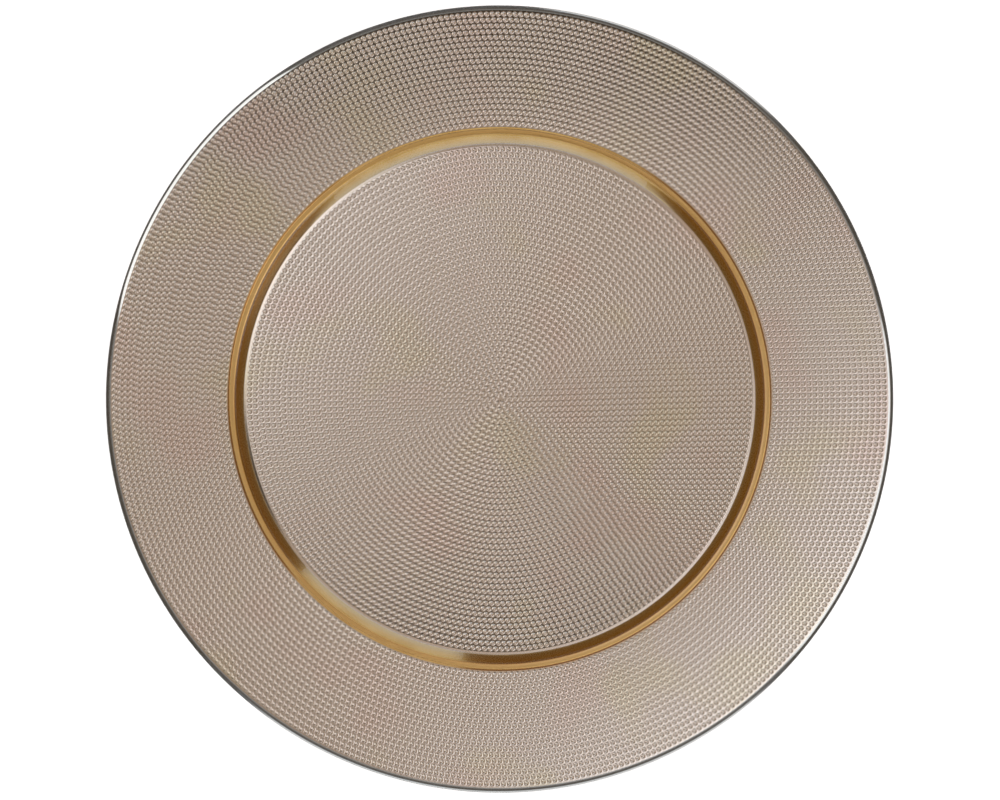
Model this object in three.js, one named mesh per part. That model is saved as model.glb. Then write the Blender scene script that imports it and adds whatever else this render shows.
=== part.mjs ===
// A round charger plate of clear pressed glass. Its top is smooth. All its colour is on the
// underside: metallic coats on the well and the rim, a gold coat on the wall between them,
// and lacquers that seal them. The plate stands on the level middle of the well's lacquer.
// Millimetres, +Z up, with the origin on the table under the plate's centre.

import * as THREE from 'three';

// Glass body, measured on its underside
const plateDiameter = 330;
const glassThickness = 3.4;
const baseDiameter = 213.2; // of the level middle
const cornerRadius = 5; // where the level middle turns up into the wall
const wallSlope = 25; // degrees above level
const wallRun = 3.3; // level width of the straight part of the wall
const shoulderRadius = 2.5; // where the wall eases into the rim
const rimSlope = 4.5; // degrees above level, where the rim begins
const rimRadius = 700; // of the rim's slow upward curve

// Coats on the underside
const metallicThickness = 0.06;
const lacquerThickness = 0.09;
const goldOverlap = 1.9; // level width of the gold on the rim, outside the shoulder
const lipMargin = 0.3; // bare glass between the rim's coats and the round of the lip

// Smoothness of the turned shapes
const turnSteps = 64;
const cornerSteps = 4;
const shoulderSteps = 3;
const rimSteps = 3;
const lipSteps = 7;

const champagne = { color: 0xa89f93, roughness: 0.3, metalness: 0.9 };
const gold = { color: 0xb98a48, roughness: 0.12, metalness: 0.95 };
const lacquer = { color: 0x8d8377, roughness: 0.5, metalness: 0.2 };
const clearGlass = { color: 0xeef3f0, roughness: 0.03, metalness: 0, transparent: true, opacity: 0.35 };

const sine = (degrees) => Math.sin(THREE.MathUtils.degToRad(degrees));
const cosine = (degrees) => Math.cos(THREE.MathUtils.degToRad(degrees));
const tangent = (degrees) => Math.tan(THREE.MathUtils.degToRad(degrees));
const slopeOfSine = (value) => THREE.MathUtils.radToDeg(Math.asin(value));

// A section is drawn with x as the distance from the axis and y as the height.
const point = (radius, height) => new THREE.Vector2(radius, height);

// The direction that leads up through the glass, square to an underside of this slope.
const upThrough = (slope) => point(-sine(slope), cosine(slope));

// The values from first to last, in equal steps and with both ends.
function evenSteps(first, last, steps) {
  return Array.from({ length: steps + 1 }, (_, i) => first + ((last - first) * i) / steps);
}

// A place on the underside of the glass and its slope there.
class Station {
  constructor(place, slope) {
    this.place = place;
    this.slope = slope;
  }

  // The point at a distance above the underside, or below it where the distance is negative.
  at(distance) {
    return this.place.clone().addScaledVector(upThrough(this.slope), distance);
  }
}

// A stretch of the underside, laid outwards from its first station. Every bend leaves the stretch
// before it smoothly, so that layers at equal distances from the guide fit on each other.
class Guide {
  constructor(start) {
    this.stations = [start];
  }

  get end() {
    return this.stations.at(-1);
  }

  straight(run) {
    const { place, slope } = this.end;
    this.stations.push(new Station(point(place.x + run, place.y + run * tangent(slope)), slope));
    return this;
  }

  // An arc from the present slope to another: it curls up or eases off, whichever that takes.
  bend(slope, radius, steps) {
    const reach = Math.sign(slope - this.end.slope) * radius;
    const centre = this.end.at(reach);
    for (const passed of evenSteps(this.end.slope, slope, steps).slice(1)) {
      const place = centre.clone().addScaledVector(upThrough(passed), -reach);
      this.stations.push(new Station(place, passed));
    }
    return this;
  }
}

const sealDepth = metallicThickness + lacquerThickness;
const lipRadius = glassThickness / 2;

// Well: the level middle and the corner round it.
const well = new Guide(new Station(point(0, sealDepth), 0))
  .straight(baseDiameter / 2)
  .bend(wallSlope, cornerRadius, cornerSteps);

// Wall and shoulder. The rim's curve starts where they end.
const wall = new Guide(well.end).straight(wallRun).bend(rimSlope, shoulderRadius, shoulderSteps);
const rimStart = wall.end.place.x;

// The slope of the rim's curve at a level distance from its start.
const rimSlopeAt = (run) => slopeOfSine(sine(rimSlope) + run / rimRadius);

// The curve ends where the full round of the lip reaches exactly to the plate's outer diameter.
const lipSlope = slopeOfSine(
  (plateDiameter / 2 - lipRadius - rimStart + rimRadius * sine(rimSlope)) / (rimRadius - lipRadius),
);
const rimRun = rimRadius * (sine(lipSlope) - sine(rimSlope));

const goldEdge = new Guide(wall.end).bend(rimSlopeAt(goldOverlap), rimRadius, 1);
const rim = new Guide(goldEdge.end).bend(rimSlopeAt(rimRun - lipMargin), rimRadius, rimSteps);
const lipEdge = new Guide(rim.end).bend(lipSlope, rimRadius, 1);
const lipCentre = lipEdge.end.at(lipRadius);

// The stations of several stretches in a row, with each meeting point once.
function joined(...guides) {
  return guides.flatMap((guide, i) => guide.stations.slice(i ? 1 : 0));
}

// One closed section for the whole glass body: out along the underside, round the lip and back.
function glassSection() {
  const stations = joined(well, wall, goldEdge, rim, lipEdge);
  const under = stations.map((station) => station.at(0));
  const upper = stations.map((station) => station.at(glassThickness)).reverse();
  const lip = evenSteps(lipSlope - 90, lipSlope + 90, lipSteps)
    .slice(1, -1)
    .map((angle) => point(cosine(angle), sine(angle)).multiplyScalar(lipRadius).add(lipCentre));
  return [...under, ...lip, ...upper];
}

// A coat under these stations, between two depths below the glass. A coat that starts away from
// the axis is a ring, and its section ends where it began.
function coatSection(stations, upperDepth, lowerDepth) {
  const lower = stations.map((station) => station.at(-lowerDepth));
  const upper = stations.map((station) => station.at(-upperDepth)).reverse();
  const closing = lower[0].x > 0 ? [lower[0]] : [];
  return [...lower, ...upper, ...closing];
}

function turned(name, section, finish) {
  const geometry = new THREE.LatheGeometry(section, turnSteps).rotateX(Math.PI / 2);
  const mesh = new THREE.Mesh(geometry, new THREE.MeshStandardMaterial(finish));
  mesh.name = name;
  return mesh;
}

const goldStations = joined(wall, goldEdge);
const outerStations = joined(wall, goldEdge, rim);

const plate = new THREE.Group();
plate.name = 'charger_plate';
plate.add(
  turned('glass_plate', glassSection(), clearGlass),
  turned('well_metallic_coat', coatSection(well.stations, 0, metallicThickness), champagne),
  turned('gold_band_coat', coatSection(goldStations, 0, metallicThickness), gold),
  turned('rim_metallic_coat', coatSection(rim.stations, 0, metallicThickness), champagne),
  turned('well_backing_lacquer', coatSection(well.stations, metallicThickness, sealDepth), lacquer),
  turned('rim_backing_lacquer', coatSection(outerStations, metallicThickness, sealDepth), lacquer),
);

export default plate;
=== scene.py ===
"""A charger plate of clear pressed glass with beaded metallic coats on its underside.

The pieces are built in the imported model's own frame: metres, +Z up, the origin on the table under
the plate's centre. The top of the glass is smooth. The coats are seen through it: champagne with
rows of round beads on the well and the rim, smooth gold on the wall between them. From below, a
satin lacquer shows the same beads. The room around the plate is a soft studio: two tall panels at
the sides, and soft lights and shades overhead, which the coats mirror.
"""

import logging
import math
from dataclasses import dataclass, replace
from enum import Enum
from typing import Any, Callable, Sequence

import bpy
import numpy as np
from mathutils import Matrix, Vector


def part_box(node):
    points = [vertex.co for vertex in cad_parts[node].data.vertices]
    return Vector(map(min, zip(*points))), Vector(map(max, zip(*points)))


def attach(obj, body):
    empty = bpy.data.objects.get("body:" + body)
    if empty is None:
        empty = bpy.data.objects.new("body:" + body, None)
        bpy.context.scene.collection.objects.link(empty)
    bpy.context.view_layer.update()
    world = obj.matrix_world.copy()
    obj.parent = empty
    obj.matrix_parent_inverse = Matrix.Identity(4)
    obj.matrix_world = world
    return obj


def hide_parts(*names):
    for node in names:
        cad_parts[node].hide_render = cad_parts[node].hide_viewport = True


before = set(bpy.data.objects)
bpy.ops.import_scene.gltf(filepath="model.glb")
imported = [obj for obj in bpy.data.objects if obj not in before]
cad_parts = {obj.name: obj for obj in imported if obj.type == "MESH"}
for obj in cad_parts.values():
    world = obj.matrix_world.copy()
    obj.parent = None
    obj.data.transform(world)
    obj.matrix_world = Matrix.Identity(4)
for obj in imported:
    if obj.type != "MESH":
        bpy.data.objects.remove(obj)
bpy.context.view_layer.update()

MM = 0.001
BODY = "root"
TURN = 2.0 * math.pi
RIGHT_ANGLE = 90.0
OPAQUE = 1.0
TINY = 1e-9
Colour = tuple[float, float, float]
Profile = list[tuple[float, float]]
Range = tuple[float, float]
Band = tuple[float, float, float, float]

# The upper side of the metallic coats: its land above the glass's underside, the bowls in it and
# the fainter bowls of the gold
LAND = 0.27 * MM
RELIEF = -0.185 * MM
FAINT_RELIEF = RELIEF * 0.45

log = logging.getLogger("charger_plate")


class Node(Enum):
    """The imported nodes, by the names they have in the model."""

    GLASS = "glass_plate"
    WELL_COAT = "well_metallic_coat"
    GOLD_BAND = "gold_band_coat"
    RIM_COAT = "rim_metallic_coat"
    WELL_LACQUER = "well_backing_lacquer"
    RIM_LACQUER = "rim_backing_lacquer"


class Slot(Enum):
    """The record's material slots."""

    GLASS = "clear_glass"
    CHAMPAGNE = "champagne_coat"
    GOLD = "gold_coat"
    LACQUER = "backing_lacquer"


class Facing(Enum):
    """The side of a coat that a run of faces looks to."""

    UP = 1
    DOWN = -1


class Signal:
    """A shader socket that can be used in Python arithmetic."""

    def __init__(self, tree: "ShaderTree", socket: bpy.types.NodeSocket) -> None:
        """Wrap one output socket of a tree."""
        self.tree = tree
        self.socket = socket

    def _math(self, operation: str, first: "Signal | float", second: "Signal | float") -> "Signal":
        """Add one Math node.

        Args:
            operation: The Math node's operation.
            first: The value of its first socket.
            second: The value of its second socket.

        Returns:
            The node's result.
        """
        return self.tree.node("ShaderNodeMath", {"operation": operation}, {0: first, 1: second})

    def __add__(self, other: "Signal | float") -> "Signal":
        """Return this value plus another."""
        return self._math("ADD", self, other)

    __radd__ = __add__

    def __sub__(self, other: "Signal | float") -> "Signal":
        """Return this value less another."""
        return self._math("SUBTRACT", self, other)

    def __rsub__(self, other: float) -> "Signal":
        """Return a number less this value."""
        return self._math("SUBTRACT", other, self)

    def __mul__(self, other: "Signal | float") -> "Signal":
        """Return this value times another."""
        return self._math("MULTIPLY", self, other)

    __rmul__ = __mul__

    def __truediv__(self, other: "Signal | float") -> "Signal":
        """Return this value over another."""
        return self._math("DIVIDE", self, other)

    def __rtruediv__(self, other: float) -> "Signal":
        """Return a number over this value."""
        return self._math("DIVIDE", other, self)

    def __pow__(self, other: float) -> "Signal":
        """Return this value to a power."""
        return self._math("POWER", self, other)

    def __rpow__(self, other: float) -> "Signal":
        """Return a number to the power of this value."""
        return self._math("POWER", other, self)


class ShaderTree:
    """The nodes of one material or of the world, emptied and ready to build."""

    # The Mix node's sockets for colours
    MIX_FIRST = 6
    MIX_SECOND = 7
    MIX_RESULT = 2

    def __init__(self, owner: bpy.types.Material | bpy.types.World) -> None:
        """Empty the owner's node tree.

        Args:
            owner: The material or world that the nodes belong to.
        """
        owner.use_nodes = True
        self.nodes = owner.node_tree.nodes
        self.links = owner.node_tree.links
        self.nodes.clear()

    def node(
        self,
        kind: str,
        settings: dict[str, Any] | None = None,
        sockets: dict[str | int, Any] | None = None,
        output: str | int = 0,
    ) -> Signal:
        """Add any node.

        Args:
            kind: The node's type.
            settings: Its properties, set before its sockets. "stops" holds a ramp's stops.
            sockets: The value or the signal of each input socket.
            output: The output socket to return.

        Returns:
            The chosen output.
        """
        made = self.nodes.new(kind)
        for name, value in (settings or {}).items():
            if name == "stops":
                self._set_stops(made.color_ramp, value)
            else:
                setattr(made, name, value)
        for name, value in (sockets or {}).items():
            if isinstance(value, Signal):
                self.links.new(value.socket, made.inputs[name])
            else:
                socket = made.inputs[name]
                socket.default_value = (*value, OPAQUE) if socket.type == "RGBA" else value
        return Signal(self, made.outputs[output]) if made.outputs else Signal(self, None)

    @staticmethod
    def _set_stops(ramp: bpy.types.ColorRamp, stops: Sequence[tuple[float, Colour]]) -> None:
        """Give a ramp its stops.

        Args:
            ramp: The ramp to fill.
            stops: The place and the colour of each stop, in rising order.
        """
        while len(ramp.elements) < len(stops):
            ramp.elements.new(1.0)
        for element, (place, colour) in zip(ramp.elements, stops):
            element.position = place
            element.color = (*colour, OPAQUE)

    def place(self) -> Signal:
        """Return the place on the piece in its own frame, in metres."""
        return self.node("ShaderNodeTexCoord", output="Object")

    def reach(self) -> Signal:
        """Return the distance of the place from the piece's origin, in metres."""
        settings = {"operation": "LENGTH"}
        return self.node("ShaderNodeVectorMath", settings, {0: self.place()}, "Value")

    def noise(self, size: float, detail: float = 2.0, offset: float = 0.0) -> Signal:
        """Add a cloudy value from about 0 to 1.

        Args:
            size: The width of one cloud, in metres.
            detail: How many finer layers it has.
            offset: A shift that makes each cloud pattern its own.

        Returns:
            The value.
        """
        moved = self.node(
            "ShaderNodeVectorMath", {"operation": "ADD"}, {0: self.place(), 1: (offset, offset, 0.0)}
        )
        return self.node(
            "ShaderNodeTexNoise", sockets={"Vector": moved, "Scale": 1.0 / size, "Detail": detail}
        )

    def dot(self, first: Signal, second: Vector) -> Signal:
        """Return how far a direction goes along a fixed direction."""
        sockets = {0: first, 1: tuple(second)}
        return self.node("ShaderNodeVectorMath", {"operation": "DOT_PRODUCT"}, sockets, "Value")

    def mixed(self, share: Signal, first: Signal | Colour, second: Signal | Colour) -> Signal:
        """Blend two colours.

        Args:
            share: The share of the second colour.
            first: The colour at share 0.
            second: The colour at share 1.

        Returns:
            The blended colour.
        """
        sockets = {0: share, self.MIX_FIRST: first, self.MIX_SECOND: second}
        return self.node("ShaderNodeMix", {"data_type": "RGBA"}, sockets, self.MIX_RESULT)

    def ramp(self, value: Signal, low: float, high: float) -> Signal:
        """Stretch a value so that low becomes 0 and high becomes 1, with soft ends.

        Args:
            value: The value to stretch.
            low: What becomes 0.
            high: What becomes 1.

        Returns:
            The stretched value.
        """
        return self.node(
            "ShaderNodeMapRange",
            {"interpolation_type": "SMOOTHSTEP"},
            {"Value": value, "From Min": low, "From Max": high},
        )

    def band(self, value: Signal, edges: Band) -> Signal:
        """Mark a band of values.

        Args:
            value: The value to look at.
            edges: Where the band starts, where it is full, where it fades and where it ends.

        Returns:
            The share, from 0 outside the band to 1 where it is full.
        """
        start, full, fade, end = edges
        return self.ramp(value, start, full) - self.ramp(value, fade, end)

    def bump(self, height: Signal, depth: float) -> Signal:
        """Turn a height into a normal.

        Args:
            height: A value from 0 to 1.
            depth: The depth of the full range, in metres.

        Returns:
            The normal.
        """
        return self.node("ShaderNodeBump", sockets={"Height": height, "Distance": depth})

    def surface(self, **sockets: Any) -> None:
        """Finish the material with a Principled surface.

        Args:
            **sockets: The Principled node's inputs, with _ for spaces.
        """
        named = {name.replace("_", " "): value for name, value in sockets.items()}
        shader = self.node("ShaderNodeBsdfPrincipled", sockets=named)
        self.node("ShaderNodeOutputMaterial", sockets={"Surface": shader})


class Finish:
    """What every finish does: it makes a material and fills in its nodes."""

    name: str

    def dress(self, tree: ShaderTree) -> None:
        """Fill in the nodes of the material."""
        raise NotImplementedError

    def material(self) -> bpy.types.Material:
        """Make the material.

        Returns:
            The finished material.
        """
        made = bpy.data.materials.new(self.name)
        self.dress(ShaderTree(made))
        return made


@dataclass(frozen=True)
class ClearGlass(Finish):
    """Clear pressed glass, fire polished, with a faint green body."""

    name: str = "clear_glass"
    tint: Colour = (0.955, 0.975, 0.962)
    smudge_tint: Colour = (0.945, 0.968, 0.955)
    refraction: float = 1.52
    smudge_size: float = 38 * MM
    smudge_range: Range = (0.45, 0.7)
    smudge_roughness: float = 0.012

    def dress(self, tree: ShaderTree) -> None:
        """Fill in the nodes of the material.

        Args:
            tree: The material's nodes.
        """
        smudge = tree.ramp(tree.noise(self.smudge_size), *self.smudge_range)
        tree.surface(
            Base_Color=tree.mixed(smudge, self.tint, self.smudge_tint),
            Roughness=smudge * self.smudge_roughness,
            Transmission_Weight=1.0,
            IOR=self.refraction,
        )


@dataclass(frozen=True)
class ChampagneCoat(Finish):
    """Champagne metallic paint, sprayed on the beaded glass, with a mist of gold where the wall starts."""

    name: str
    tint: Colour = (0.665, 0.607, 0.562)
    straw_tint: Colour = (0.665, 0.61, 0.51)
    rose_tint: Colour = (0.67, 0.58, 0.537)
    gold_tint: Colour = (0.64, 0.41, 0.175)
    gold_mist: Band = (108.45 * MM, 108.6 * MM, 108.6 * MM, 112.0 * MM)
    blotch_size: float = 46 * MM
    blotch_range: Range = (0.52, 0.72)
    rose_offset: float = 1.0
    flake_size: float = 0.35 * MM
    flake_detail: float = 3.0
    flake_depth: float = 0.002 * MM
    roughness: float = 0.08
    flake_roughness: float = 0.05

    def dress(self, tree: ShaderTree) -> None:
        """Fill in the nodes of the material.

        Args:
            tree: The material's nodes.
        """
        straw = tree.ramp(tree.noise(self.blotch_size), *self.blotch_range)
        rose = tree.ramp(tree.noise(self.blotch_size, offset=self.rose_offset), *self.blotch_range)
        flake = tree.noise(self.flake_size, self.flake_detail)
        colour = tree.mixed(straw, self.tint, self.straw_tint)
        colour = tree.mixed(rose, colour, self.rose_tint)
        mist = tree.band(tree.reach(), self.gold_mist)
        tree.surface(
            Base_Color=tree.mixed(mist, colour, self.gold_tint),
            Metallic=1.0,
            Roughness=flake * self.flake_roughness + self.roughness,
            Normal=tree.bump(flake, self.flake_depth),
        )


@dataclass(frozen=True)
class GoldCoat(Finish):
    """Glossy amber gold paint on the smooth wall, with a painted sheen: a paler line where the rim starts,
    which is also duller.

    It is a little less deep at the foot of the wall, where the champagne drifted in.
    """

    name: str = "amber_gold_coat"
    tint: Colour = (0.665, 0.41, 0.15)
    deep_tint: Colour = (0.60, 0.35, 0.108)
    foot_tint: Colour = (0.61, 0.43, 0.235)
    foot_from: float = 108.7 * MM
    foot_until: float = 111.4 * MM
    # Painted sheen: a paler tint in the line where the rim starts
    painted_sheen_tint: Colour = (0.73, 0.46, 0.165)
    sheen_line_roughness: float = 0.24
    painted_sheen_line: Band = (111.8 * MM, 112.5 * MM, 113.8 * MM, 114.0 * MM)
    cloud_size: float = 14 * MM
    cloud_detail: float = 4.0
    cloud_range: Range = (0.4, 0.7)
    roughness: float = 0.06
    cloud_roughness: float = 0.06

    def dress(self, tree: ShaderTree) -> None:
        """Fill in the nodes of the material.

        Args:
            tree: The material's nodes.
        """
        cloud = tree.noise(self.cloud_size, self.cloud_detail)
        away = tree.reach()
        colour = tree.mixed(tree.ramp(cloud, *self.cloud_range), self.tint, self.deep_tint)
        colour = tree.mixed(tree.ramp(away, self.foot_until, self.foot_from), colour, self.foot_tint)
        # The painted sheen: paler, and rougher, in the line where the rim starts
        painted_sheen = tree.band(away, self.painted_sheen_line)
        tree.surface(
            Base_Color=tree.mixed(painted_sheen, colour, self.painted_sheen_tint),
            Metallic=1.0,
            Roughness=cloud * self.cloud_roughness + painted_sheen * self.sheen_line_roughness + self.roughness,
        )


@dataclass(frozen=True)
class BackingLacquer(Finish):
    """Satin taupe lacquer that seals the back of the coats."""

    name: str
    tint: Colour = (0.30, 0.265, 0.23)
    worn_tint: Colour = (0.36, 0.325, 0.29)
    cloud_size: float = 30 * MM
    cloud_detail: float = 4.0
    cloud_range: Range = (0.35, 0.7)
    peel_size: float = 0.9 * MM
    peel_depth: float = 0.012 * MM
    metallic: float = 0.35
    roughness: float = 0.36
    cloud_roughness: float = 0.16

    def dress(self, tree: ShaderTree) -> None:
        """Fill in the nodes of the material.

        Args:
            tree: The material's nodes.
        """
        cloud = tree.noise(self.cloud_size, self.cloud_detail)
        tree.surface(
            Base_Color=tree.mixed(tree.ramp(cloud, *self.cloud_range), self.tint, self.worn_tint),
            Metallic=self.metallic,
            Roughness=cloud * self.cloud_roughness + self.roughness,
            Normal=tree.bump(tree.noise(self.peel_size), self.peel_depth),
        )


@dataclass(frozen=True)
class ShadeSide:
    """A side of the plate where painted light is laid on the floor under the clear lip."""

    azimuth: float
    half_width: float
    fade: float = 8.0

    def share(self, tree: ShaderTree) -> Signal:
        """Return how much a place on the floor belongs to this side.

        Args:
            tree: The floor's nodes.

        Returns:
            The share, from 0 to 1.
        """
        toward = tree.dot(tree.place(), direction(self.azimuth, RIGHT_ANGLE)) / tree.reach()
        edge = math.cos(math.radians(self.half_width + self.fade))
        return tree.ramp(toward, edge, math.cos(math.radians(self.half_width)))


@dataclass(frozen=True)
class PaleFloor(Finish):
    """A plain white studio floor that glows a little, with a painted shade under the plate.

    On the overhead lights' sides the painted shade starts further in, standing in for light through the
    clear lip.
    On the panels' sides a painted glint lies further under the plate, standing in for light that the lip
    gathers.
    """

    plate_radius: float
    name: str = "pale_floor"
    tint: Colour = (0.86, 0.86, 0.86)
    # Painted shade under the plate: this dark tint, with no glow
    shade_tint: Colour = (0.14, 0.13, 0.115)
    glow: Colour = (0.8, 0.8, 0.8)
    no_glow: Colour = (0.0, 0.0, 0.0)
    shade_inset: float = 1.0 * MM
    shade_edge: float = 1.5 * MM
    # Painted light under the lip on the overhead lights' sides, and a painted glint on the panels' sides
    light_sides: tuple[tuple[ShadeSide, float], ...] = (
        (ShadeSide(145.0, 17.0), 3.0 * MM),
        (ShadeSide(345.0, 22.0), 1.4 * MM),
    )
    glint_sides: tuple[ShadeSide, ...] = (ShadeSide(65.0, 13.0), ShadeSide(272.0, 35.0))
    glint_from: float = 14.0 * MM
    glint_until: float = 3.0 * MM
    glint_edge: float = 1.5 * MM
    glint_share: float = 0.5
    roughness: float = 0.8

    def _lit(self, tree: ShaderTree) -> Signal:
        """Work out where the floor gets painted light and where it gets painted shade.

        Args:
            tree: The floor's nodes.

        Returns:
            The share of light, from 0 in the shade to 1 in the open.
        """
        away = tree.reach()
        inner = self.plate_radius - self.shade_inset
        outer = self.plate_radius + self.shade_edge
        shifted = away
        for side, reach in self.light_sides:
            shifted = shifted + side.share(tree) * reach
        lit = tree.ramp(shifted, inner, outer)
        first = self.plate_radius - self.glint_from
        last = self.plate_radius - self.glint_until
        glint = tree.band(away, (first, first + self.glint_edge, last - self.glint_edge, last))
        for side in self.glint_sides:
            lit = lit + glint * side.share(tree) * self.glint_share
        return lit

    def dress(self, tree: ShaderTree) -> None:
        """Fill in the nodes of the material.

        Args:
            tree: The material's nodes.
        """
        lit = self._lit(tree)
        # Painted shade and painted light: the tint darkens and the glow stops where the floor is not lit
        tree.surface(
            Base_Color=tree.mixed(lit, self.shade_tint, self.tint),
            Roughness=self.roughness,
            Emission_Color=tree.mixed(lit, self.no_glow, self.glow),
            Emission_Strength=1.0,
        )


@dataclass(frozen=True)
class Ring:
    """A level ring of points in a mesh."""

    start: int
    count: int
    phase: float

    def point(self, index: int) -> int:
        """Return the mesh index of a point, counted round the ring."""
        return self.start + index % self.count


class MeshDraft:
    """Rings of points and the faces between them, on the way to one mesh."""

    def __init__(self) -> None:
        """Start with nothing."""
        self.blocks: list[np.ndarray] = []
        self.size = 0
        self.faces: list[tuple[int, ...]] = []
        self.normals: dict[int, np.ndarray] = {}

    def ring(
        self, radius: float | np.ndarray, height: float | np.ndarray, count: int, phase: float
    ) -> Ring:
        """Add a ring of points.

        Args:
            radius: One radius, or one for each point.
            height: One height, or one for each point.
            count: How many points it has.
            phase: The angle of its first point.

        Returns:
            The ring.
        """
        angle = phase + TURN * np.arange(count) / count
        block = np.empty((count, 3))
        block[:, 0] = radius * np.cos(angle)
        block[:, 1] = radius * np.sin(angle)
        block[:, 2] = height
        start = self.size
        self.blocks.append(block)
        self.size += count
        return Ring(start, count, phase)

    def loop(self, place: tuple[float, float], count: int, phase: float = 0.0) -> Ring:
        """Add a plain ring at a radius and a height, or a single point on the axis."""
        radius, height = place
        return self.ring(radius, height, count if radius else 1, phase)

    def _face(self, facing: Facing, *points: int) -> None:
        """Add a face whose points run anticlockwise, seen from the side it looks to."""
        self.faces.append(points if facing is Facing.UP else points[::-1])

    def fan(self, centre: Ring, outer: Ring, facing: Facing) -> None:
        """Join a point on the axis to a ring round it."""
        for i in range(outer.count):
            self._face(facing, centre.start, outer.point(i), outer.point(i + 1))

    def strip(self, inner: Ring, outer: Ring, facing: Facing) -> None:
        """Join two rings of as many points by four-sided faces."""
        for i in range(inner.count):
            self._face(facing, inner.point(i), outer.point(i), outer.point(i + 1), inner.point(i + 1))

    def zipper(self, inner: Ring, outer: Ring, facing: Facing) -> None:
        """Join two rings of different counts by triangles, going round both in step.

        Args:
            inner: The ring nearer the axis.
            outer: The ring outside it.
            facing: The side that the faces look to.
        """
        inner_step = TURN / inner.count
        outer_step = TURN / outer.count
        lead = round((inner.phase - outer.phase) / outer_step)
        start = outer.phase + lead * outer_step - inner.phase
        i = 0
        j = 0
        while i < inner.count or j < outer.count:
            next_inner = (i + 1) * inner_step
            next_outer = start + (j + 1) * outer_step
            go_outer = i == inner.count or (j < outer.count and next_outer <= next_inner)
            near = inner.point(i)
            far = outer.point(j + lead)
            if go_outer:
                self._face(facing, near, far, outer.point(j + lead + 1))
                j += 1
            else:
                self._face(facing, near, far, inner.point(i + 1))
                i += 1

    def join(self, inner: Ring, outer: Ring, facing: Facing) -> None:
        """Join two rings in whichever way their counts ask for.

        Args:
            inner: The ring nearer the axis, or a point on it.
            outer: The ring outside it.
            facing: The side that the faces look to.
        """
        if inner.count == 1:
            self.fan(inner, outer, facing)
        elif inner.count == outer.count and inner.phase == outer.phase:
            self.strip(inner, outer, facing)
        else:
            self.zipper(inner, outer, facing)

    def turned(self, profile: Profile, count: int) -> None:
        """Turn a section that starts and ends on the axis.

        Args:
            profile: Radius and height of each point, out along the underside and back on top.
            count: How many steps the turn has.
        """
        rings = [self.loop(place, count) for place in profile]
        for first, second in zip(rings, rings[1:]):
            if first.count == 1:
                self.fan(first, second, Facing.DOWN)
            elif second.count == 1:
                self.fan(second, first, Facing.UP)
            else:
                self.strip(first, second, Facing.DOWN)

    def _set_normals(self, mesh: bpy.types.Mesh) -> None:
        """Give the points whose exact normals are known those normals.

        Args:
            mesh: The mesh, which keeps its own normals at all other points.
        """
        normals = np.empty(self.size * 3)
        mesh.vertices.foreach_get("normal", normals)
        normals = normals.reshape(-1, 3)
        for start, block in self.normals.items():
            normals[start : start + len(block)] = block
        mesh.normals_split_custom_set_from_vertices(normals.tolist())

    def piece(self, name: str, crease: float) -> bpy.types.Object:
        """Make the mesh object.

        Args:
            name: The piece's name.
            crease: The angle above which an edge stays sharp, in radians.

        Returns:
            The object, in the scene.
        """
        mesh = bpy.data.meshes.new(name)
        mesh.from_pydata(np.concatenate(self.blocks).tolist(), [], self.faces)
        mesh.validate()
        mesh.shade_smooth()
        mesh.set_sharp_from_angle(angle=crease)
        if self.normals:
            self._set_normals(mesh)
        made = bpy.data.objects.new(name, mesh)
        bpy.context.scene.collection.objects.link(made)
        return made


@dataclass(frozen=True)
class Station:
    """A place on the plate's underside, with the slope of the glass there."""

    radius: float
    height: float
    slope: float

    def at(self, distance: float | np.ndarray) -> tuple[float | np.ndarray, float | np.ndarray]:
        """Return the radius and height of the point this far up through the glass."""
        across = self.radius - distance * math.sin(self.slope)
        return across, self.height + distance * math.cos(self.slope)

    def raised(self, rise: float) -> "Station":
        """Return the same place, lifted."""
        return replace(self, height=self.height + rise)


def even_steps(first: float, last: float, steps: int) -> list[float]:
    """Return the values from first to last in equal steps, with both ends."""
    return [first + (last - first) * i / steps for i in range(steps + 1)]


def bend(start: Station, slope: float, radius: float, steps: int) -> list[Station]:
    """Follow an arc from one slope to another.

    Args:
        start: Where the arc starts.
        slope: The slope where it ends.
        radius: The arc's radius.
        steps: How many places it has after the start.

    Returns:
        The places on the arc, with the start.
    """
    reach = math.copysign(radius, slope - start.slope)
    across, height = start.at(reach)
    return [
        Station(across + reach * math.sin(s), height - reach * math.cos(s), s)
        for s in even_steps(start.slope, slope, steps)
    ]


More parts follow.
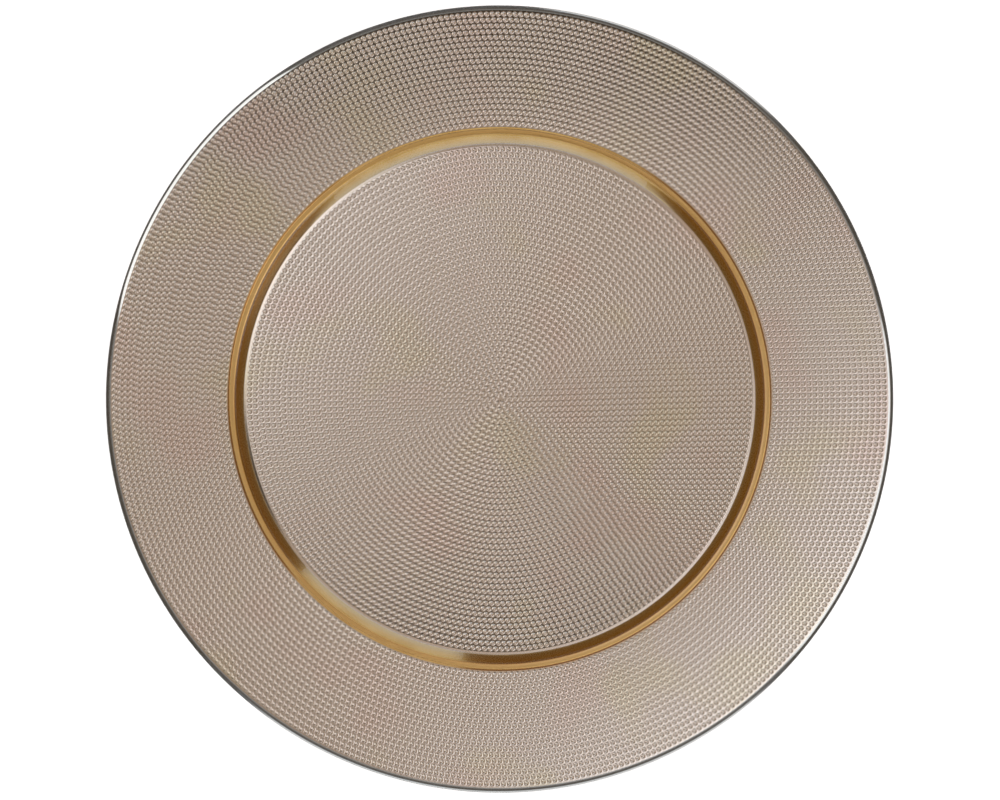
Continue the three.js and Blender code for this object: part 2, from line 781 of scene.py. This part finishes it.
@dataclass(frozen=True)
class PlateSection:
    """The section that the glass and all its coats share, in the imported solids' sizes."""

    plate_radius: float
    underside: float
    glass_thickness: float = 3.4 * MM
    base_radius: float = 106.6 * MM
    corner_radius: float = 5.0 * MM
    wall_slope: float = math.radians(25.0)
    wall_run: float = 3.3 * MM
    shoulder_radius: float = 2.5 * MM
    rim_slope: float = math.radians(4.5)
    rim_radius: float = 700.0 * MM
    gold_overlap: float = 1.9 * MM
    lip_margin: float = 0.3 * MM
    corner_steps: int = 12
    shoulder_steps: int = 10
    rim_steps: int = 24
    lip_steps: int = 36

    @classmethod
    def from_frame(cls) -> "PlateSection":
        """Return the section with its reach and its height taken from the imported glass."""
        low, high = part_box(Node.GLASS.value)
        return cls(plate_radius=high.x, underside=low.z)

    def level(self, radius: float) -> Station:
        """Return the place under the level well at this radius."""
        return Station(radius, self.underside, 0.0)

    def corner(self) -> list[Station]:
        """Return the places where the well turns up into the wall."""
        return bend(self.level(self.base_radius), self.wall_slope, self.corner_radius, self.corner_steps)

    def wall(self) -> list[Station]:
        """Lay out the wall and the shoulder.

        Returns:
            The places under them, up to where the rim starts.
        """
        foot = self.corner()[-1]
        rise = self.wall_run * math.tan(self.wall_slope)
        top = Station(foot.radius + self.wall_run, foot.height + rise, foot.slope)
        return [foot, *bend(top, self.rim_slope, self.shoulder_radius, self.shoulder_steps)]

    def rim(self, radius: float) -> Station:
        """Find a place under the rim's slow curve.

        Args:
            radius: Its distance from the axis.

        Returns:
            The place.
        """
        start = self.wall()[-1]
        sine = math.sin(start.slope) + (radius - start.radius) / self.rim_radius
        slope = math.asin(sine)
        rise = self.rim_radius * (math.cos(start.slope) - math.cos(slope))
        return Station(radius, start.height + rise, slope)

    @property
    def gold_edge(self) -> float:
        """Return the outer radius of the gold."""
        return self.wall()[-1].radius + self.gold_overlap

    @property
    def lip_radius(self) -> float:
        """Return the radius of the lip's round."""
        return self.glass_thickness / 2

    @property
    def rim_end(self) -> float:
        """Find where the rim's curve meets the lip's round.

        Returns:
            The radius.
        """
        start = self.wall()[-1]
        run = self.plate_radius - self.lip_radius - start.radius
        sine = (run + self.rim_radius * math.sin(start.slope)) / (self.rim_radius - self.lip_radius)
        return start.radius + self.rim_radius * (sine - math.sin(start.slope))

    @property
    def coat_end(self) -> float:
        """Return the outer radius of the rim's coats."""
        return self.rim_end - self.lip_margin

    @property
    def lip_centre(self) -> tuple[float, float]:
        """Return the radius and height of the middle of the lip's round."""
        return self.rim(self.rim_end).at(self.lip_radius)

    def glass_profile(self) -> Profile:
        """Lay out the whole glass section.

        Returns:
            Its points, out along the underside, round the lip and back.
        """
        curve = even_steps(self.wall()[-1].radius, self.rim_end, self.rim_steps)
        stations = [self.level(0.0), *self.corner(), *self.wall()[1:], *(self.rim(r) for r in curve[1:])]
        across, height = self.lip_centre
        half = self.lip_radius
        slope = stations[-1].slope
        angles = even_steps(slope - TURN / 4, slope + TURN / 4, self.lip_steps)[1:-1]
        lip = [(across + half * math.cos(a), height + half * math.sin(a)) for a in angles]
        under = [station.at(0.0) for station in stations]
        upper = [station.at(self.glass_thickness) for station in reversed(stations)]
        return [*under, *lip, *upper]


@dataclass(frozen=True)
class BeadRow:
    """One row of beads round the plate."""

    radius: float
    count: int


@dataclass(frozen=True)
class BeadedSide:
    """The beaded side of a sheet: its land above the glass's underside, and the beads on the land.

    The relief is the height of the beads, negative for bowls.
    """

    land: float
    relief: float
    facing: Facing


@dataclass(frozen=True)
class Sheet:
    """A stretch of the underside that a coat follows: smooth, then beaded, then smooth.

    A bead is steepest at steep_share of its size from its middle and ends at foot_share. It has
    samples points along its row and row_samples rings across it, as far as row_spread on both sides.
    """

    station: Callable[[float], Station]
    inner: tuple[Station, ...]
    rows: tuple[BeadRow, ...]
    outer: tuple[Station, ...]
    bead_size: float
    first_bead: float = math.radians(1.72)
    samples: int = 6
    row_samples: int = 5
    row_spread: float = 0.4
    steep_share: float = 0.25
    foot_share: float = 0.46
    back_steps: int = 192
    back_rows: int = 4

    def _bead(self, distance: np.ndarray) -> tuple[np.ndarray, np.ndarray]:
        """Shape a bead of height 1: its slope grows evenly from the middle, then fades to the foot.

        Args:
            distance: The distances from the bead's middle.

        Returns:
            The height and the fall per metre at each distance.
        """
        steep = self.steep_share * self.bead_size
        foot = self.foot_share * self.bead_size
        left = np.clip(foot - distance, 0.0, None)
        inside = distance < steep
        height = np.where(inside, 1 - distance**2 / (steep * foot), left**2 / (foot * (foot - steep)))
        fall = np.where(inside, 2 * distance / (steep * foot), 2 * left / (foot * (foot - steep)))
        return height, fall

    def _row_rings(self, draft: MeshDraft, row: BeadRow, side: BeadedSide) -> list[Ring]:
        """Add the rings of points that make one row of beads.

        Args:
            draft: The mesh to add to.
            row: The row of beads.
            side: The beaded side.

        Returns:
            The rings, from the axis outwards.
        """
        points = row.count * self.samples
        along = (np.arange(points) / self.samples + 0.5) % 1.0 - 0.5
        along = along * TURN * row.radius / row.count
        level = math.cos(self.station(row.radius).slope)
        rings = []
        for share in even_steps(-self.row_spread, self.row_spread, self.row_samples - 1):
            across = share * self.bead_size
            station = self.station(row.radius + across * level)
            away = np.hypot(along, across)
            height, fall = self._bead(away)
            radius, rise = station.at(side.land + side.relief * height)
            ring = draft.ring(radius, rise, points, self.first_bead)
            lean = side.relief * fall / np.maximum(away, TINY)
            self._lean(draft, ring, station, lean * across, lean * along, side.facing)
            rings.append(ring)
        return rings

    @staticmethod
    def _lean(
        draft: MeshDraft,
        ring: Ring,
        station: Station,
        outward: float | np.ndarray,
        sideways: float | np.ndarray,
        facing: Facing,
    ) -> None:
        """Give a ring its exact normals.

        Args:
            draft: The mesh that the ring belongs to.
            ring: The ring.
            station: Its place on the underside.
            outward: How far its normals lean away from the axis, over the slope of the glass.
            sideways: How far they lean along the ring.
            facing: The side that they look to.
        """
        angle = ring.phase + TURN * np.arange(ring.count) / ring.count
        sine, cosine = math.sin(station.slope), math.cos(station.slope)
        from_axis = outward * cosine - sine
        block = np.empty((ring.count, 3))
        block[:, 0] = from_axis * np.cos(angle) - sideways * np.sin(angle)
        block[:, 1] = from_axis * np.sin(angle) + sideways * np.cos(angle)
        block[:, 2] = outward * sine + cosine
        draft.normals[ring.start] = block * facing.value / np.linalg.norm(block, axis=1, keepdims=True)

    def _plain_rings(
        self, draft: MeshDraft, stations: tuple[Station, ...], land: float, count: int, facing: Facing
    ) -> list[Ring]:
        """Add smooth rings to the beaded side.

        Args:
            draft: The mesh to add to.
            stations: The places of the rings.
            land: Their distance above the glass's underside.
            count: How many points each has.
            facing: The side that they look to.

        Returns:
            The rings.
        """
        rings = [draft.loop(station.at(land), count, self.first_bead) for station in stations]
        for ring, station in zip(rings, stations):
            self._lean(draft, ring, station, 0.0, 0.0, facing)
        return rings

    def _face(self, draft: MeshDraft, side: BeadedSide) -> list[Ring]:
        """Add all the rings of the beaded side.

        Args:
            draft: The mesh to add to.
            side: The beaded side.

        Returns:
            The rings, from the axis or the inner edge to the outer edge.
        """
        first = self.rows[0].count * self.samples
        last = self.rows[-1].count * self.samples
        start = side.land if self.inner[0].radius else side.land + side.relief
        made = self._plain_rings(draft, self.inner, start, first, side.facing)
        for row in self.rows:
            made.extend(self._row_rings(draft, row, side))
        made.extend(self._plain_rings(draft, self.outer, side.land, last, side.facing))
        return made

    def _back(self, draft: MeshDraft, depth: float, first: int, last: int) -> list[Ring]:
        """Add the rings of the plain side.

        Args:
            draft: The mesh to add to.
            depth: The distance of the plain side above the glass's underside.
            first: How many points the inner edge has.
            last: How many points the outer edge has.

        Returns:
            The rings, from the axis or the inner edge to the outer edge.
        """
        under = [self.station(row.radius) for row in self.rows[self.back_rows :: self.back_rows]]
        stations = [*self.inner, *under, *self.outer]
        counts = [first, *[self.back_steps] * (len(stations) - 2), last]
        return [draft.loop(s.at(depth), n, self.first_bead) for s, n in zip(stations, counts)]

    def fill(self, draft: MeshDraft, side: BeadedSide, back: float) -> None:
        """Make the closed sheet between a beaded side and a plain side.

        Args:
            draft: The mesh to add to.
            side: The beaded side.
            back: The distance of the plain side above the glass's underside.
        """
        other = Facing(-side.facing.value)
        face = self._face(draft, side)
        plain = self._back(draft, back, face[0].count, face[-1].count)
        for rings, way in ((face, side.facing), (plain, other)):
            for near, far in zip(rings, rings[1:]):
                draft.join(near, far, way)
        draft.strip(face[-1], plain[-1], side.facing)
        if face[0].count > 1:
            draft.strip(face[0], plain[0], other)


class Piece:
    """What every piece of the plate does: it draws a mesh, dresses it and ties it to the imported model."""

    name: str
    node: Node
    slot: Slot
    crease = math.radians(50.0)

    def draw(self, draft: MeshDraft) -> None:
        """Draw the mesh."""
        raise NotImplementedError

    def finish(self) -> Finish:
        """Return the piece's finish."""
        raise NotImplementedError

    def build(self) -> bpy.types.Object:
        """Make the piece.

        Returns:
            The object.
        """
        draft = MeshDraft()
        self.draw(draft)
        made = draft.piece(self.name, self.crease)
        made.data.materials.append(self.finish().material())
        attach(made, BODY)
        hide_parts(self.node.value)
        log.info("%s: %d faces, for %s", self.name, len(made.data.polygons), self.node.value)
        return made


@dataclass
class GlassBody(Piece):
    """The pressed glass body with its round lip."""

    section: PlateSection
    name: str = "glass_body"
    node: Node = Node.GLASS
    slot: Slot = Slot.GLASS
    steps: int = 384

    def draw(self, draft: MeshDraft) -> None:
        """Turn the glass section."""
        draft.turned(self.section.glass_profile(), self.steps)

    def finish(self) -> Finish:
        """Return clear glass."""
        return ClearGlass()


@dataclass
class BeadedCoat(Piece):
    """A champagne coat on the beaded glass, with the beads as bowls in its upper side."""

    sheet: Sheet
    name: str
    node: Node
    slot: Slot = Slot.CHAMPAGNE
    land: float = LAND
    relief: float = RELIEF
    thickness: float = 0.06 * MM

    def draw(self, draft: MeshDraft) -> None:
        """Lay the coat along its sheet, beads up."""
        self.sheet.fill(draft, BeadedSide(self.land, self.relief, Facing.UP), -self.thickness)

    def finish(self) -> Finish:
        """Return champagne paint."""
        return ChampagneCoat(f"{self.name}_champagne")


@dataclass
class GoldBand(BeadedCoat):
    """The glossy gold coat under the wall, with one faint row of beads at its outer edge."""

    name: str = "gold_band"
    node: Node = Node.GOLD_BAND
    slot: Slot = Slot.GOLD
    relief: float = FAINT_RELIEF

    def draw(self, draft: MeshDraft) -> None:
        """Lay the coat, whose smooth wall keeps the normals of its own faces."""
        super().draw(draft)
        draft.normals.clear()

    def finish(self) -> Finish:
        """Return amber gold paint."""
        return GoldCoat()


@dataclass
class BeadedLacquer(Piece):
    """The sealing lacquer, with a low bead on its back under each bead of the coat."""

    sheet: Sheet
    name: str
    node: Node
    slot: Slot = Slot.LACQUER
    top_depth: float = 0.06 * MM
    depth: float = 0.15 * MM
    relief: float = 0.05 * MM

    def draw(self, draft: MeshDraft) -> None:
        """Lay the lacquer along its sheet, beads down."""
        side = BeadedSide(self.relief - self.depth, -self.relief, Facing.DOWN)
        self.sheet.fill(draft, side, -self.top_depth)

    def finish(self) -> Finish:
        """Return taupe lacquer."""
        return BackingLacquer(f"{self.name}_taupe")


@dataclass
class ChargerPlate:
    """The whole plate: the glass, its coats and their lacquer.

    Row k of the well has about 2 pi k beads. The rim's rows count on in the same way from rim_turns.
    """

    section: PlateSection
    pitch: float = 2.401 * MM
    well_rows: int = 44
    well_spare: float = 0.1
    well_shift: float = 0.17 * MM
    rim_rows: int = 20
    first_rim_row: float = 116.34 * MM
    last_rim_row: float = 161.65 * MM
    rim_turns: float = 48.33
    gold_row: float = 113.4 * MM
    gold_bead: float = 0.95 * MM
    gold_step: float = 0.16 * MM
    gold_step_from: float = 114.05 * MM
    gold_step_to: float = 114.75 * MM
    gold_step_rings: int = 8
    coat_corner_start: float = 107.1 * MM
    coat_corner_bends: tuple[tuple[float, float], ...] = (
        (13.0, 1.5 * MM),
        (17.5, 13.0 * MM),
        (25.0, 2.0 * MM),
    )
    edge_clearance: float = 0.02 * MM
    back_samples: int = 4
    back_row_samples: int = 3

    def well_sheet(self) -> Sheet:
        """Lay out the beaded well with the smooth corner round it.

        Returns:
            The sheet.
        """
        rows = tuple(
            BeadRow(self.pitch * k - self.well_shift, math.floor(TURN * k + self.well_spare))
            for k in range(1, self.well_rows + 1)
        )
        level = self.section.level
        corner = [level(self.coat_corner_start)]
        for slope, radius in self.coat_corner_bends:
            arc = bend(corner[-1], math.radians(slope), radius, self.section.corner_steps)
            corner.extend(arc[1:])
        return Sheet(level, (level(0.0),), rows, tuple(corner), self.pitch)

    def gold_sheet(self) -> Sheet:
        """Lay out the smooth wall with the faint row and the step at the outer edge of the gold.

        Returns:
            The sheet.
        """
        run = self.gold_step_to - self.gold_step_from
        step = tuple(
            self.section.rim(self.gold_step_from + run * s).raised(self.gold_step * s)
            for s in even_steps(0.0, 1.0, self.gold_step_rings)
        )
        row = BeadRow(self.gold_row, math.floor(TURN * (self.rim_turns - 1)))
        edge = self.section.rim(self.section.gold_edge).raised(self.gold_step)
        return Sheet(self.section.rim, tuple(self.section.wall()), (row,), (*step, edge), self.gold_bead)

    def rim_sheet(self, skirt: tuple[Station, ...] = ()) -> Sheet:
        """Lay out the beaded rim, with or without the smooth wall inside it.

        Args:
            skirt: The places under the wall, where the sheet goes on under the gold.

        Returns:
            The sheet.
        """
        radii = even_steps(self.first_rim_row, self.last_rim_row, self.rim_rows - 1)
        rows = tuple(
            BeadRow(r, math.floor(TURN * (self.rim_turns + i))) for i, r in enumerate(radii)
        )
        inner = (*skirt, self.section.rim(self.section.gold_edge))
        outer = (self.section.rim(self.section.coat_end - self.edge_clearance),)
        return Sheet(self.section.rim, inner, rows, outer, self.pitch)

    def build(self) -> list[bpy.types.Object]:
        """Make every piece of the plate.

        Returns:
            The objects, from the glass to the lacquers.
        """
        well = self.well_sheet()
        rim = self.rim_sheet()
        rim_and_wall = self.rim_sheet(tuple(self.section.wall()))
        back = {"samples": self.back_samples, "row_samples": self.back_row_samples}
        return [
            GlassBody(self.section).build(),
            BeadedCoat(well, "well_coat", Node.WELL_COAT).build(),
            GoldBand(self.gold_sheet()).build(),
            BeadedCoat(rim, "rim_coat", Node.RIM_COAT).build(),
            BeadedLacquer(replace(well, **back), "well_lacquer", Node.WELL_LACQUER).build(),
            BeadedLacquer(replace(rim_and_wall, **back), "rim_lacquer", Node.RIM_LACQUER).build(),
        ]


def direction(azimuth: float, tilt: float) -> Vector:
    """Turn two angles into a direction.

    Args:
        azimuth: The angle round the axis from +X, in degrees.
        tilt: The angle from overhead, in degrees.

    Returns:
        The unit vector.
    """
    turn = math.radians(azimuth)
    lean = math.radians(tilt)
    return Vector((math.sin(lean) * math.cos(turn), math.sin(lean) * math.sin(turn), math.cos(lean)))


@dataclass(frozen=True)
class TallPanel:
    """A tall upright studio light at the side of the plate."""

    name: str
    azimuth: float
    width: float
    brightness: float
    colour: Colour = (0.66, 0.82, 1.0)
    distance: float = 1.3
    bottom: float = 0.11
    top: float = 1.86

    def build(self) -> None:
        """Hang the light, out of the camera's sight."""
        lamp = bpy.data.lights.new(self.name, "AREA")
        lamp.shape = "RECTANGLE"
        lamp.color = self.colour
        lamp.size = self.width
        lamp.size_y = self.top - self.bottom
        lamp.energy = self.brightness * math.pi * lamp.size * lamp.size_y
        made = bpy.data.objects.new(self.name, lamp)
        away = direction(self.azimuth, RIGHT_ANGLE)
        made.location = away * self.distance + Vector((0.0, 0.0, (self.bottom + self.top) / 2))
        made.rotation_mode = "QUATERNION"
        made.rotation_quaternion = (-away).to_track_quat("-Z", "Y")
        made.visible_camera = False
        bpy.context.scene.collection.objects.link(made)


@dataclass(frozen=True)
class SoftGlow:
    """A soft-edged light or shade overhead, as an oval patch of the surroundings."""

    azimuth: float
    tilt: float
    reach_along: float
    reach_across: float
    core: float
    colour: Colour

    def added_to(self, tree: ShaderTree, way: Signal, colour: Signal) -> Signal:
        """Lay the patch over the surroundings.

        Args:
            tree: The nodes of the world.
            way: The direction looked to.
            colour: The surroundings so far.

        Returns:
            The surroundings with the patch.
        """
        along = direction(self.azimuth, self.tilt + RIGHT_ANGLE)
        across = direction(self.azimuth + RIGHT_ANGLE, RIGHT_ANGLE)
        first = tree.dot(way, along) / math.sin(math.radians(self.reach_along))
        second = tree.dot(way, across) / math.sin(math.radians(self.reach_across))
        reach = (first * first + second * second) ** 0.5
        return tree.mixed(tree.ramp(reach, 1.0, self.core), colour, self.colour)


@dataclass
class Studio:
    """The floor, the lights, the surroundings and the camera."""

    section: PlateSection
    frame_width: int = 1000
    plate_pixels: float = 787.6
    plate_column: float = 499.57
    plate_row: float = 399.05
    frame_middle: tuple[float, float] = (500.0, 400.0)
    camera_distance: float = 1.06
    sensor_width: float = 36.0
    floor_half: float = 6.0
    floor_drop: float = 0.05 * MM
    room: tuple[tuple[float, Colour], ...] = (
        (0.0, (0.52, 0.49, 0.45)),
        (0.4, (0.46, 0.42, 0.37)),
        (0.58, (0.24, 0.17, 0.10)),
        (0.66, (0.16, 0.105, 0.05)),
        (0.74, (0.215, 0.135, 0.06)),
        (0.8, (0.58, 0.44, 0.33)),
        (0.88, (0.80, 0.63, 0.49)),
        (0.95, (0.32, 0.27, 0.24)),
        (1.0, (0.52, 0.40, 0.31)),
    )
    panels: tuple[TallPanel, ...] = (
        TallPanel("near_panel", 272.5, 2.55, 0.83),
        TallPanel("far_panel", 61.5, 0.97, 0.83),
    )
    glows: tuple[SoftGlow, ...] = (
        SoftGlow(271.0, 36.0, 13.0, 30.0, 0.5, (0.34, 0.26, 0.17)),
        SoftGlow(142.0, 15.0, 15.3, 22.0, 0.0, (2.0, 2.0, 2.1)),
        SoftGlow(329.0, 27.3, 19.6, 20.2, 0.3, (1.7, 1.6, 1.53)),
        SoftGlow(271.0, 10.5, 8.0, 15.0, 0.6, (0.06, 0.045, 0.03)),
        SoftGlow(17.0, 24.8, 11.5, 8.0, 0.5, (0.06, 0.045, 0.03)),
    )

    def _floor(self) -> None:
        """Lay the floor just under the plate."""
        h = self.floor_half
        mesh = bpy.data.meshes.new("floor")
        corners = [(-h, -h), (h, -h), (h, h), (-h, h)]
        mesh.from_pydata([(x, y, -self.floor_drop) for x, y in corners], [], [(0, 1, 2, 3)])
        mesh.materials.append(PaleFloor(self.section.plate_radius).material())
        floor = bpy.data.objects.new("floor", mesh)
        bpy.context.scene.collection.objects.link(floor)

    def _surroundings(self) -> None:
        """Make a warm room, darkest half way up, with the soft lights and shades in it."""
        world = bpy.data.worlds.new("studio_room")
        tree = ShaderTree(world)
        way = tree.node("ShaderNodeTexCoord", output="Generated")
        rise = tree.node("ShaderNodeSeparateXYZ", sockets={"Vector": way}, output="Z")
        colour = tree.node("ShaderNodeValToRGB", {"stops": self.room}, {"Fac": rise})
        for glow in self.glows:
            colour = glow.added_to(tree, way, colour)
        shader = tree.node("ShaderNodeBackground", sockets={"Color": colour})
        tree.node("ShaderNodeOutputWorld", sockets={"Surface": shader})
        bpy.context.scene.world = world

    def _camera(self) -> None:
        """Hang the camera straight above the plate, at the photograph's framing."""
        pixel = 2 * self.section.plate_radius / self.plate_pixels
        lens = self.sensor_width * self.camera_distance / (pixel * self.frame_width)
        data = bpy.data.cameras.new("camera")
        data.sensor_width = self.sensor_width
        data.lens = lens
        camera = bpy.data.objects.new("camera", data)
        aside = (self.frame_middle[0] - self.plate_column) * pixel
        down = (self.plate_row - self.frame_middle[1]) * pixel
        camera.location = (aside, down, self.section.lip_centre[1] + self.camera_distance)
        bpy.context.scene.collection.objects.link(camera)
        bpy.context.scene.camera = camera

    def build(self) -> None:
        """Set up the whole studio."""
        self._floor()
        self._surroundings()
        for panel in self.panels:
            panel.build()
            log.info("%s in place", panel.name)
        self._camera()
        bpy.context.scene.view_settings.view_transform = "Standard"


def main() -> None:
    """Build the plate and its studio, and log each piece as it is made."""
    logging.basicConfig(level=logging.INFO, format="%(name)s: %(message)s")
    section = PlateSection.from_frame()
    for piece in ChargerPlate(section).build():
        log.info("%s is in place", piece.name)
    Studio(section).build()


if __name__ == "__main__":
    main()
